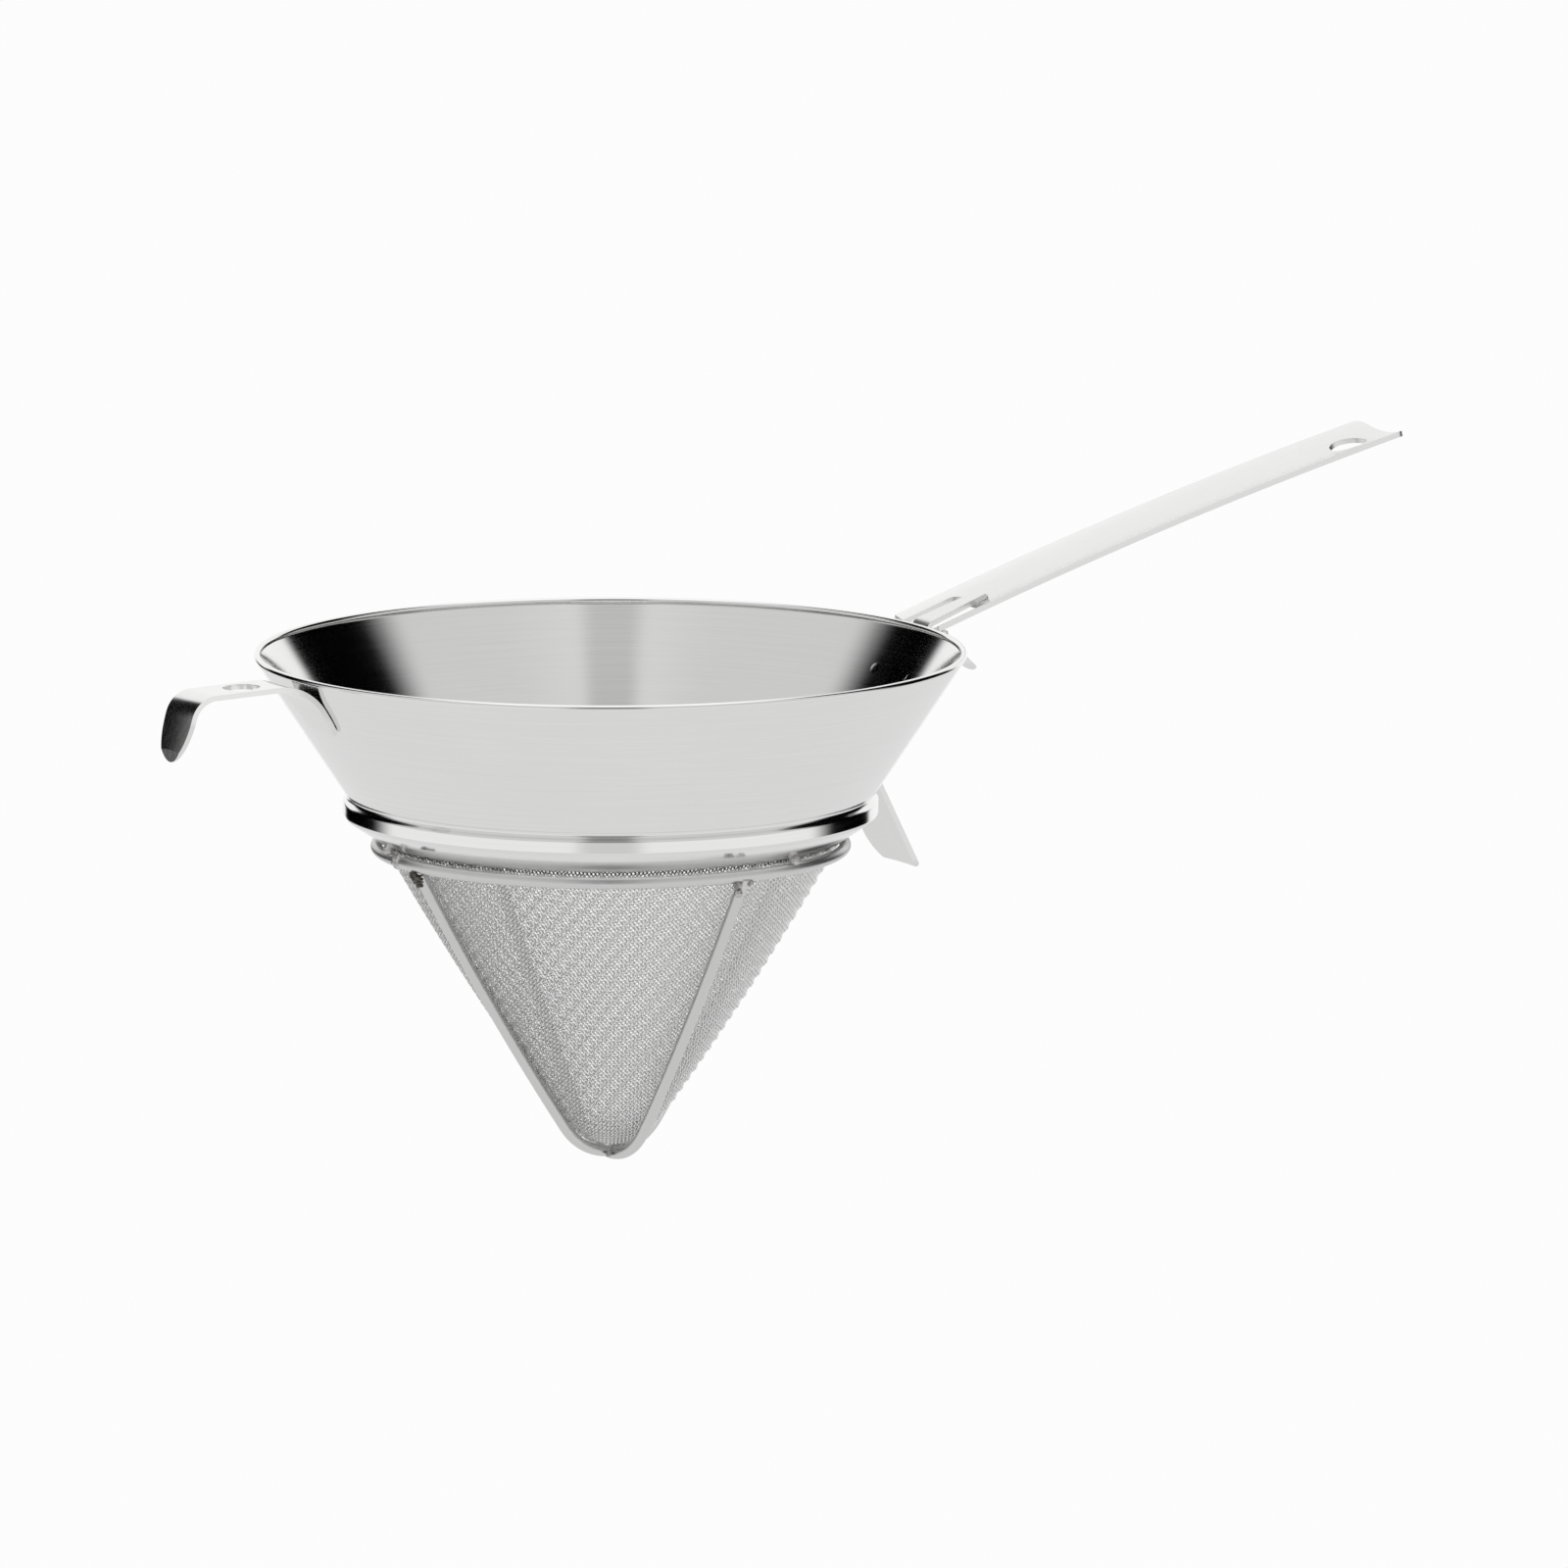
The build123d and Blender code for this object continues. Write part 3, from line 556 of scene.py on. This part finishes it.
class CHINOIS_PG_cloth(bpy.types.PropertyGroup):
    """The woven cloth's sizes, in millimetres and degrees."""

    wire_pitch: bpy.props.FloatProperty(
        name="Wire pitch", description="From wire to wire, in millimetres", default=0.95
    )
    wire_thickness: bpy.props.FloatProperty(
        name="Wire thickness", description="The wire, in millimetres", default=0.30
    )
    wire_swell: bpy.props.FloatProperty(
        name="Wire swell", description="Corner radius of the four-sided wire, in wire radii", default=1.15
    )
    wire_lean: bpy.props.FloatProperty(
        name="Wire lean",
        description="Lean of the wires from the line down the cone",
        default=math.radians(31.0),
        subtype="ANGLE",
    )
    ridge_height: bpy.props.FloatProperty(
        name="Ridge height",
        description="Half the height of the cloth's ripples, in millimetres",
        default=0.24,
    )
    ridge_pitch: bpy.props.FloatProperty(
        name="Ridge pitch", description="From ripple to ripple, in millimetres", default=3.5
    )
    cloth_thickness: bpy.props.FloatProperty(
        name="Cloth thickness", description="Two wires, in millimetres", default=0.60
    )
    top_radius: bpy.props.FloatProperty(
        name="Top radius",
        description="Outside radius where the cloth leaves the collar, in millimetres",
        default=65.68,
    )
    top_depth: bpy.props.FloatProperty(
        name="Top depth", description="Depth under the rim, in millimetres", default=51.43
    )
    bow_radius: bpy.props.FloatProperty(
        name="Bow radius", description="Radius of the side's bow, in millimetres", default=890.0
    )
    tip_depth: bpy.props.FloatProperty(
        name="Tip depth", description="Depth of the tip under the rim, in millimetres", default=140.6
    )
    tip_round: bpy.props.FloatProperty(
        name="Tip round", description="Radius of the tip, in millimetres", default=17.2
    )
    roll_share: bpy.props.FloatProperty(
        name="Roll share", description="Radius of the cone for one millimetre of flat cloth", default=0.555
    )
    seam_azimuth: bpy.props.FloatProperty(
        name="Seam azimuth",
        description="Where the cloth's edges meet",
        default=math.radians(181.0),
        subtype="ANGLE",
    )
    grain_azimuth: bpy.props.FloatProperty(
        name="Grain azimuth",
        description="Where the two families of wires lean alike",
        default=math.radians(240.5),
        subtype="ANGLE",
    )


class CHINOIS_PG_welds(bpy.types.PropertyGroup):
    """Places and sizes of the weld lumps."""

    bar_azimuth: bpy.props.FloatProperty(
        name="Bar azimuth",
        description="Where the first guard bar stands",
        default=math.radians(4.6),
        subtype="ANGLE",
    )
    joint_azimuth: bpy.props.FloatProperty(
        name="Joint azimuth",
        description="Where the hoop's ends meet",
        default=math.radians(177.2),
        subtype="ANGLE",
    )
    tack_azimuth: bpy.props.FloatProperty(
        name="Tack azimuth",
        description="Where the first tack sits",
        default=math.radians(171.0),
        subtype="ANGLE",
    )
    unevenness: bpy.props.FloatProperty(
        name="Unevenness", description="Height of the lumps' ripples as a share of their radius", default=0.10
    )


class CHINOIS_PG_steel(bpy.types.PropertyGroup):
    """Colours of the steels."""

    bowl_colour: bpy.props.FloatVectorProperty(
        name="Bowl", description="Spun steel", subtype="COLOR", default=(0.84, 0.84, 0.835)
    )
    strip_colour: bpy.props.FloatVectorProperty(
        name="Strips", description="Hook, strap and handle", subtype="COLOR", default=(0.84, 0.84, 0.835)
    )
    wire_colour: bpy.props.FloatVectorProperty(
        name="Guard wire", description="Hoop and bars", subtype="COLOR", default=(0.71, 0.71, 0.705)
    )
    # Painted light: warp and weft are one wire steel. The warp's light colour and the weft's dark one are a lit
    # and a shaded copy of it, standing in for light that falls on one family of wires more than on the other
    warp_lit_colour: bpy.props.FloatVectorProperty(
        name="Warp", description="The cloth's bright wires", subtype="COLOR", default=(0.98, 0.98, 0.975)
    )
    weft_shaded_colour: bpy.props.FloatVectorProperty(
        name="Weft", description="The cloth's duller wires", subtype="COLOR", default=(0.62, 0.62, 0.615)
    )
    weld_colour: bpy.props.FloatVectorProperty(
        name="Weld", description="Bare weld metal", subtype="COLOR", default=(0.62, 0.61, 0.60)
    )
    burnt_colour: bpy.props.FloatVectorProperty(
        name="Burnt weld",
        description="Weld metal left black by the arc",
        subtype="COLOR",
        default=(0.05, 0.045, 0.04),
    )


class CHINOIS_PG_studio(bpy.types.PropertyGroup):
    """The studio's light and the camera."""

    elevation: bpy.props.FloatProperty(
        name="Elevation",
        description="Height of the camera above the horizon",
        default=math.radians(9.25),
        subtype="ANGLE",
    )
    azimuth: bpy.props.FloatProperty(
        name="Azimuth",
        description="Turn of the camera round the axis",
        default=math.radians(-30.0),
        subtype="ANGLE",
    )
    distance: bpy.props.FloatProperty(
        name="Distance", description="Camera to the bowl's mouth", default=5.0, unit="LENGTH"
    )
    sky_strength: bpy.props.FloatProperty(
        name="Sky strength", description="Strength of the soft light from all round", default=1.0
    )
    floor_drop: bpy.props.FloatProperty(
        name="Floor drop", description="Floor below the object's lowest point", default=0.45, unit="LENGTH"
    )


# Operators, one for each piece or group


class CHINOIS_OT_finish_parts(bpy.types.Operator):
    """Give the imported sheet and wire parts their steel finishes"""

    bl_idname = "chinois.finish_parts"
    bl_label = "Finish Sheet and Wire"

    def execute(self, context):
        colours = context.scene.chinois_steel
        bowl = steel("spun_steel", tuple(colours.bowl_colour), *BOWL_FINISH, spots=SPOT_MARKS)
        strips = steel("strip_steel", tuple(colours.strip_colour), *STRIP_FINISH)
        hook = steel("hook_steel", tuple(colours.strip_colour), *HOOK_FINISH)
        wire = steel("guard_wire", tuple(colours.wire_colour), *GUARD_FINISH)
        clamp = steel("clamp_steel", tuple(colours.bowl_colour), *CLAMP_FINISH)
        weld = burnt_steel("spot_weld", tuple(colours.weld_colour), SPOT_WELD_DARK)
        for node, finish in (
            ("bowl", bowl),
            ("clamp_ring", clamp),
            ("guard_hoop", wire),
            ("guard_bar_inner", wire),
            ("guard_bar_outer", wire),
            ("front_hook", hook),
            ("rear_strap", strips),
            ("handle", strips),
            ("hook_spot_welds", weld),
            ("strap_spot_welds", weld),
            ("tip_welds", weld),
            ("mesh_seam", strips),
        ):
            dress(node, finish)
        return {"FINISHED"}


class CHINOIS_OT_weave_cloth(bpy.types.Operator):
    """Weave the cone of wire cloth, in halves of each family of wires"""

    bl_idname = "chinois.weave_cloth"
    bl_label = "Weave Cloth"

    def execute(self, context):
        look = context.scene.chinois_cloth
        colours = context.scene.chinois_steel
        # Both wire finishes carry painted shade in the crevice under the collar
        finishes = [
            steel(name, tuple(colour), *finish, painted_shade=CREVICE_PAINTED_SHADE)
            for name, colour, finish in (
                # Painted light: a lit copy of the wire steel for one family and a shaded copy for the other
                ("lit_warp_wire", colours.warp_lit_colour, WARP_FINISH),
                ("shaded_weft_wire", colours.weft_shaded_colour, WEFT_FINISH),
            )
        ]
        made = []
        for family in (0, 1):
            ring, joined, azimuth = woven_family(look, family)
            width = joined.shape[1] + 1
            points = ring.reshape(-1, 3) * MM
            turn = np.mod(azimuth[:, :-1] - HALVES_AZIMUTH, 2 * math.pi)
            for part in range(2):
                half = joined & (turn >= part * math.pi) & (turn < (part + 1) * math.pi)
                own_points, own_quads = used_only(points, tube_faces(half, width))
                name = f"cloth_wires_{len(made) + 1}"
                made.append(new_piece(name, own_points, own_quads, finishes[family]))
        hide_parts("mesh_cone")
        return {"FINISHED"}


class CHINOIS_OT_lay_welds(bpy.types.Operator):
    """Lay the uneven lumps of weld on the hoop, the bars' tops, the handle's root and its prong"""

    bl_idname = "chinois.lay_welds"
    bl_label = "Lay Welds"

    def execute(self, context):
        look = context.scene.chinois_welds
        colours = context.scene.chinois_steel
        bare = tuple(colours.weld_colour)
        burnt = burnt_steel("burnt_weld", shade(colours.burnt_colour, BURNT_LIGHT), tuple(colours.burnt_colour))
        grey = burnt_steel("bare_weld", bare, shade(bare, GREY_DARK))
        light = burnt_steel("ground_weld", shade(bare, GROUND_LIGHT), shade(bare, GROUND_DARK))
        quarter = math.pi / 2

        blob = lumps_at(BLACK_BLOB, look.bar_azimuth + 2 * quarter, BLOB_UNEVENNESS * look.unevenness)
        self.lay("bar_weld_black", blob, burnt, "bar_welds")
        lobes = []
        for turn in (0, 1, 3):
            lobes += lumps_at(THREE_LOBES, look.bar_azimuth + turn * quarter, look.unevenness, turn)
        self.lay("bar_weld_lobes", lobes, grey)

        sleeve = lumps_at(HOOP_SLEEVE, look.joint_azimuth, look.unevenness)
        self.lay("hoop_joint_sleeve", sleeve, light, "hoop_joint")
        tacks = []
        for turn in range(3):
            tacks += lumps_at(HOOP_TACK, look.tack_azimuth + turn * 2 * math.pi / 3, look.unevenness, turn)
        self.lay("hoop_tack_lumps", tacks, light, "hoop_tacks")
        self.lay("handle_root_lumps", lumps_at(HANDLE_ROOTS, 0.0, look.unevenness), light, "handle_root_welds")
        self.lay("prong_lumps", lumps_at(PRONG_TIP, 0.0, look.unevenness), grey, "prong_weld")
        return {"FINISHED"}

    def lay(self, name, lumps, finish, node=None):
        """Makes one piece of the lumps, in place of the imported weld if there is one."""
        points, quads = joined_lumps(lumps)
        piece = new_piece(name, points * MM, quads, finish)
        if node:
            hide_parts(node)


# The studio round the object, each thing in it of one plain brightness: a white backdrop behind the object
# between two black flags, walls, a tent over them, a floor, a top, and the gap that the camera looks through.
BACKDROP_LEVEL = 1.0
FLAG_LEVEL = 0.0
WALL_LEVEL = 0.95
TENT_LEVEL = 0.7
FLOOR_LEVEL = 0.8
TOP_LEVEL = 0.85
WALL_GAP_LEVEL = 0.7
TENT_GAP_LEVEL = 0.3
# Edges of the left and the right flag beside the walls and in the tent, and of the gap, in degrees from
# straight behind the object, right being positive, and half the width of the flags' blurred edges
WALL_FLAGS = ((-65, -18), (32, 76))
TENT_FLAGS = ((-68, -34), (38, 82))
GAP_EDGE = (162, 172)
OUTER_BLUR = 9
INNER_BLUR = 3
# Directions in which one part of the studio gives way to the next, as sines of the elevation
FLOOR_EDGE = (-0.20, -0.27)
TENT_EDGE = (-0.06, 0.03)
TOP_EDGE = (0.80, 0.90)

# The floor: half its side in metres, its grey and roughness, and the share of plain white that the camera sees
FLOOR_HALF = 30.0
FLOOR_GREY = 0.8
FLOOR_ROUGHNESS = 0.9
FLOOR_WHITE_SHARE = 0.95
# The softbox: metres behind the object and above its mouth, its side in metres and its power in watts
SOFTBOX_BEHIND = 0.3
SOFTBOX_HEIGHT = 1.9
SOFTBOX_SIDE = 1.6
SOFTBOX_POWER = 3.0
# The camera: its frame's side and the middle of the mouth in it, in pixels, the scale there, the sensor's
# width in millimetres, and the nearest and farthest distance that it draws, in metres
FRAME_SIDE = 1600.0
MOUTH_IN_FRAME = (623.0, 663.5)
PIXELS_PER_METRE = 3640.0
SENSOR_WIDTH = 36.0
CAMERA_RANGE = (0.1, 100.0)


def seen_directly(tree):
    """1 on camera and transmission rays, 0 on all others."""
    path = tree.nodes.new("ShaderNodeLightPath")
    return math_node(tree, "MAXIMUM", path.outputs["Is Camera Ray"], path.outputs["Is Transmission Ray"])


def dot_with(tree, direction, way):
    """How far a direction goes along a fixed one."""
    dot = tree.nodes.new("ShaderNodeVectorMath")
    dot.operation = "DOT_PRODUCT"
    tree.links.new(direction, dot.inputs[0])
    dot.inputs[1].default_value = way
    return dot.outputs["Value"]


def studio_ring(side, gap, flags):
    """Stops of brightness round the object: the gap, a side, a flag, the backdrop, a flag, a side, the gap."""
    left, right = flags
    return (
        (-180, gap),
        (-GAP_EDGE[1], gap),
        (-GAP_EDGE[0], side),
        (left[0] - OUTER_BLUR, side),
        (left[0] + OUTER_BLUR, FLAG_LEVEL),
        (left[1] - INNER_BLUR, FLAG_LEVEL),
        (left[1] + INNER_BLUR, BACKDROP_LEVEL),
        (right[0] - INNER_BLUR, BACKDROP_LEVEL),
        (right[0] + INNER_BLUR, FLAG_LEVEL),
        (right[1] - OUTER_BLUR, FLAG_LEVEL),
        (right[1] + OUTER_BLUR, side),
        (GAP_EDGE[0], side),
        (GAP_EDGE[1], gap),
        (180, gap),
    )


def light_ramp(tree, share, stops):
    """Brightness between the stops (degrees, brightness), with the half turn at both ends."""
    ramp = tree.nodes.new("ShaderNodeValToRGB")
    ramp.color_ramp.interpolation = "EASE"
    elements = ramp.color_ramp.elements
    while len(elements) < len(stops):
        elements.new(0.5)
    for element, (degrees, _) in zip(elements, stops):
        element.position = degrees / 360.0 + 0.5
    for element, (_, level) in zip(elements, stops):
        element.color = (level, level, level, 1.0)
    tree.links.new(share, ramp.inputs["Fac"])
    return ramp.outputs["Color"]


class CHINOIS_OT_build_stage(bpy.types.Operator):
    """Set up the floor, the soft light and the camera"""

    bl_idname = "chinois.build_stage"
    bl_label = "Build Stage"

    def execute(self, context):
        look = context.scene.chinois_studio
        scene = context.scene
        scene.view_settings.view_transform = "Standard"
        front = Vector((math.sin(look.azimuth), -math.cos(look.azimuth), 0.0))
        aside = Vector((math.cos(look.azimuth), math.sin(look.azimuth), 0.0))
        self.light_studio(scene, look, front, aside)
        self.lay_floor(scene, look)
        self.hang_softbox(scene, front)
        self.aim_camera(scene, look, front, aside)
        return {"FINISHED"}

    def light_studio(self, scene, look, front, aside):
        """The world: plain white to camera and transmission rays, the studio to all others."""
        world = bpy.data.worlds.new("studio")
        world.use_nodes = True
        scene.world = world
        tree = world.node_tree
        tree.nodes.clear()
        output = tree.nodes.new("ShaderNodeOutputWorld")
        light = tree.nodes.new("ShaderNodeBackground")
        white = tree.nodes.new("ShaderNodeBackground")
        mix = tree.nodes.new("ShaderNodeMixShader")
        for colour in (light.inputs["Color"], white.inputs["Color"]):
            colour.default_value = (1.0, 1.0, 1.0, 1.0)
        place = tree.nodes.new("ShaderNodeTexCoord")
        across = dot_with(tree, place.outputs["Generated"], aside)
        behind = dot_with(tree, place.outputs["Generated"], -front)
        height = dot_with(tree, place.outputs["Generated"], Vector((0.0, 0.0, 1.0)))
        turn = math_node(tree, "ARCTAN2", across, behind)
        share = math_node(tree, "ADD", math_node(tree, "MULTIPLY", turn, 0.5 / math.pi), 0.5)
        bright = light_ramp(tree, share, studio_ring(WALL_LEVEL, WALL_GAP_LEVEL, WALL_FLAGS))
        tent = light_ramp(tree, share, studio_ring(TENT_LEVEL, TENT_GAP_LEVEL, TENT_FLAGS))
        for edge, level in ((FLOOR_EDGE, FLOOR_LEVEL), (TENT_EDGE, tent), (TOP_EDGE, TOP_LEVEL)):
            bright = blend_values(tree, smooth_step(tree, height, *edge), bright, level)
        bright = math_node(tree, "MULTIPLY", bright, look.sky_strength)
        tree.links.new(bright, light.inputs["Strength"])
        tree.links.new(light.outputs[0], mix.inputs[1])
        tree.links.new(white.outputs[0], mix.inputs[2])
        tree.links.new(seen_directly(tree), mix.inputs["Fac"])
        tree.links.new(mix.outputs[0], output.inputs["Surface"])

    def lay_floor(self, scene, look):
        """A pale floor, nearly white to the camera, that keeps the object's shadow."""
        lowest = CAD_BOX[0].z - look.floor_drop
        mesh = bpy.data.meshes.new("floor")
        corners = [(x * FLOOR_HALF, y * FLOOR_HALF, lowest) for x, y in ((-1, -1), (1, -1), (1, 1), (-1, 1))]
        mesh.from_pydata(corners, [], [(0, 1, 2, 3)])
        floor = bpy.data.objects.new("floor", mesh)
        scene.collection.objects.link(floor)
        pale, tree, shader = node_maker("pale_floor")
        shader.inputs["Base Color"].default_value = (FLOOR_GREY, FLOOR_GREY, FLOOR_GREY, 1.0)
        shader.inputs["Roughness"].default_value = FLOOR_ROUGHNESS
        output = next(node for node in tree.nodes if node.type == "OUTPUT_MATERIAL")
        glow = tree.nodes.new("ShaderNodeEmission")
        glow.inputs["Strength"].default_value = 1.0
        blend = tree.nodes.new("ShaderNodeMixShader")
        white_share = math_node(tree, "MULTIPLY", seen_directly(tree), FLOOR_WHITE_SHARE)
        tree.links.new(white_share, blend.inputs["Fac"])
        tree.links.new(shader.outputs["BSDF"], blend.inputs[1])
        tree.links.new(glow.outputs[0], blend.inputs[2])
        tree.links.new(blend.outputs[0], output.inputs["Surface"])
        mesh.materials.append(pale)
        floor.visible_glossy = False
        floor.visible_diffuse = False

    def hang_softbox(self, scene, front):
        """A soft light above the object, a little behind it."""
        lamp = bpy.data.lights.new("top_softbox", "AREA")
        lamp.size = SOFTBOX_SIDE
        lamp.energy = SOFTBOX_POWER
        holder = bpy.data.objects.new("top_softbox", lamp)
        way = -front * SOFTBOX_BEHIND + Vector((0, 0, SOFTBOX_HEIGHT))
        holder.location = way
        holder.rotation_euler = (-way).to_track_quat("-Z", "Y").to_euler()
        scene.collection.objects.link(holder)

    def aim_camera(self, scene, look, front, aside):
        """The camera, so far off that the picture is nearly parallel, with the mouth at its place in the frame."""
        eye = bpy.data.cameras.new("camera")
        eye.sensor_width = SENSOR_WIDTH
        eye.lens = PIXELS_PER_METRE * SENSOR_WIDTH * look.distance / FRAME_SIDE
        eye.clip_start, eye.clip_end = CAMERA_RANGE
        camera = bpy.data.objects.new("camera", eye)
        towards = front * math.cos(look.elevation) + Vector((0, 0, math.sin(look.elevation)))
        up = Vector((0, 0, math.cos(look.elevation))) - front * math.sin(look.elevation)
        right, above = ((FRAME_SIDE / 2 - pixel) / PIXELS_PER_METRE for pixel in MOUTH_IN_FRAME)
        camera.location = aside * right - up * above + towards * look.distance
        camera.rotation_euler = (-towards).to_track_quat("-Z", "Y").to_euler()
        scene.collection.objects.link(camera)
        scene.camera = camera


class CHINOIS_PT_panel(bpy.types.Panel):
    """Buttons that build the strainer's look"""

    bl_label = "Chinois Strainer"
    bl_idname = "CHINOIS_PT_panel"
    bl_space_type = "VIEW_3D"
    bl_region_type = "UI"
    bl_category = "Chinois"

    def draw(self, context):
        for operator in OPERATORS:
            self.layout.operator(operator.bl_idname)


GROUPS = (CHINOIS_PG_cloth, CHINOIS_PG_welds, CHINOIS_PG_steel, CHINOIS_PG_studio)
OPERATORS = (CHINOIS_OT_finish_parts, CHINOIS_OT_weave_cloth, CHINOIS_OT_lay_welds, CHINOIS_OT_build_stage)


def register():
    """Registers the classes and hangs their values on the scene."""
    for item in GROUPS + OPERATORS + (CHINOIS_PT_panel,):
        bpy.utils.register_class(item)
    bpy.types.Scene.chinois_cloth = bpy.props.PointerProperty(type=CHINOIS_PG_cloth)
    bpy.types.Scene.chinois_welds = bpy.props.PointerProperty(type=CHINOIS_PG_welds)
    bpy.types.Scene.chinois_steel = bpy.props.PointerProperty(type=CHINOIS_PG_steel)
    bpy.types.Scene.chinois_studio = bpy.props.PointerProperty(type=CHINOIS_PG_studio)


def unregister():
    """Takes the values and the classes away again."""
    del bpy.types.Scene.chinois_studio
    del bpy.types.Scene.chinois_steel
    del bpy.types.Scene.chinois_welds
    del bpy.types.Scene.chinois_cloth
    for item in reversed(GROUPS + OPERATORS + (CHINOIS_PT_panel,)):
        bpy.utils.unregister_class(item)


def main():
    """Builds everything in order."""
    register()
    bpy.ops.chinois.finish_parts()
    bpy.ops.chinois.weave_cloth()
    bpy.ops.chinois.lay_welds()
    bpy.ops.chinois.build_stage()
    bpy.context.view_layer.update()


if __name__ == "__main__":
    main()
